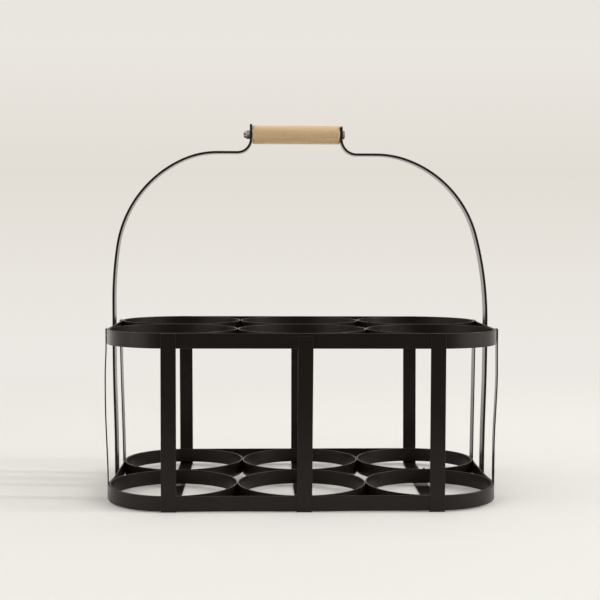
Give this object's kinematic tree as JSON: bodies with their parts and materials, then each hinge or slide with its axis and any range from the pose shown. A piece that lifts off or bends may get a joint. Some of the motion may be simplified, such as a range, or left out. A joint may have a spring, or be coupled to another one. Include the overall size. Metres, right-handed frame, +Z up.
{
  "type": "bottle caddy",
  "caption": "Metal bottle carrier: open rings in two tiers of flat strip, folded uprights, and an arched handle with a turned wooden grip that spins on a bolt.",
  "frame": {"origin": "on the surface that the caddy stands on, below the middle of its box", "axes": "+X along the long side, towards the end with the bolt's head; -Y is the front; +Z up"},
  "size_m": [0.3208, 0.2142, 0.3102],
  "materials": {
    "black_coat": "satin powder coat",
    "wood": "sanded, unvarnished light wood",
    "dark_steel": "dark machine screw",
    "zinc_steel": "bright zinc plate",
    "nylon": "natural nylon"
  },
  "bodies": {
    "rack": {"bottom_band": "black_coat", "bottom_ring_front_left": "black_coat", "bottom_ring_front_middle": "black_coat", "bottom_ring_front_right": "black_coat", "bottom_ring_rear_left": "black_coat", "bottom_ring_rear_middle": "black_coat", "bottom_ring_rear_right": "black_coat", "top_band": "black_coat", "top_ring_front_left": "black_coat", "top_ring_front_middle": "black_coat", "top_ring_front_right": "black_coat", "top_ring_rear_left": "black_coat", "top_ring_rear_middle": "black_coat", "top_ring_rear_right": "black_coat", "upright_left": "black_coat", "upright_middle": "black_coat", "upright_right": "black_coat", "end_strip_front_left": "black_coat", "end_strip_rear_left": "black_coat", "end_strip_front_right": "black_coat", "end_strip_rear_right": "black_coat", "handle_strap_left": "black_coat", "handle_strap_right": "black_coat", "grip_bolt": "dark_steel", "lock_nut": "zinc_steel", "lock_nut_insert": "nylon"},
    "grip": {"wooden_grip": "wood"}
  },
  "joints": [
    {"name": "grip_spin", "type": "hinge", "parent": "rack", "child": "grip", "pos_m": [-0.0041, 0, 0.3014], "axis": [1, 0, 0], "continuous": true}
  ]
}
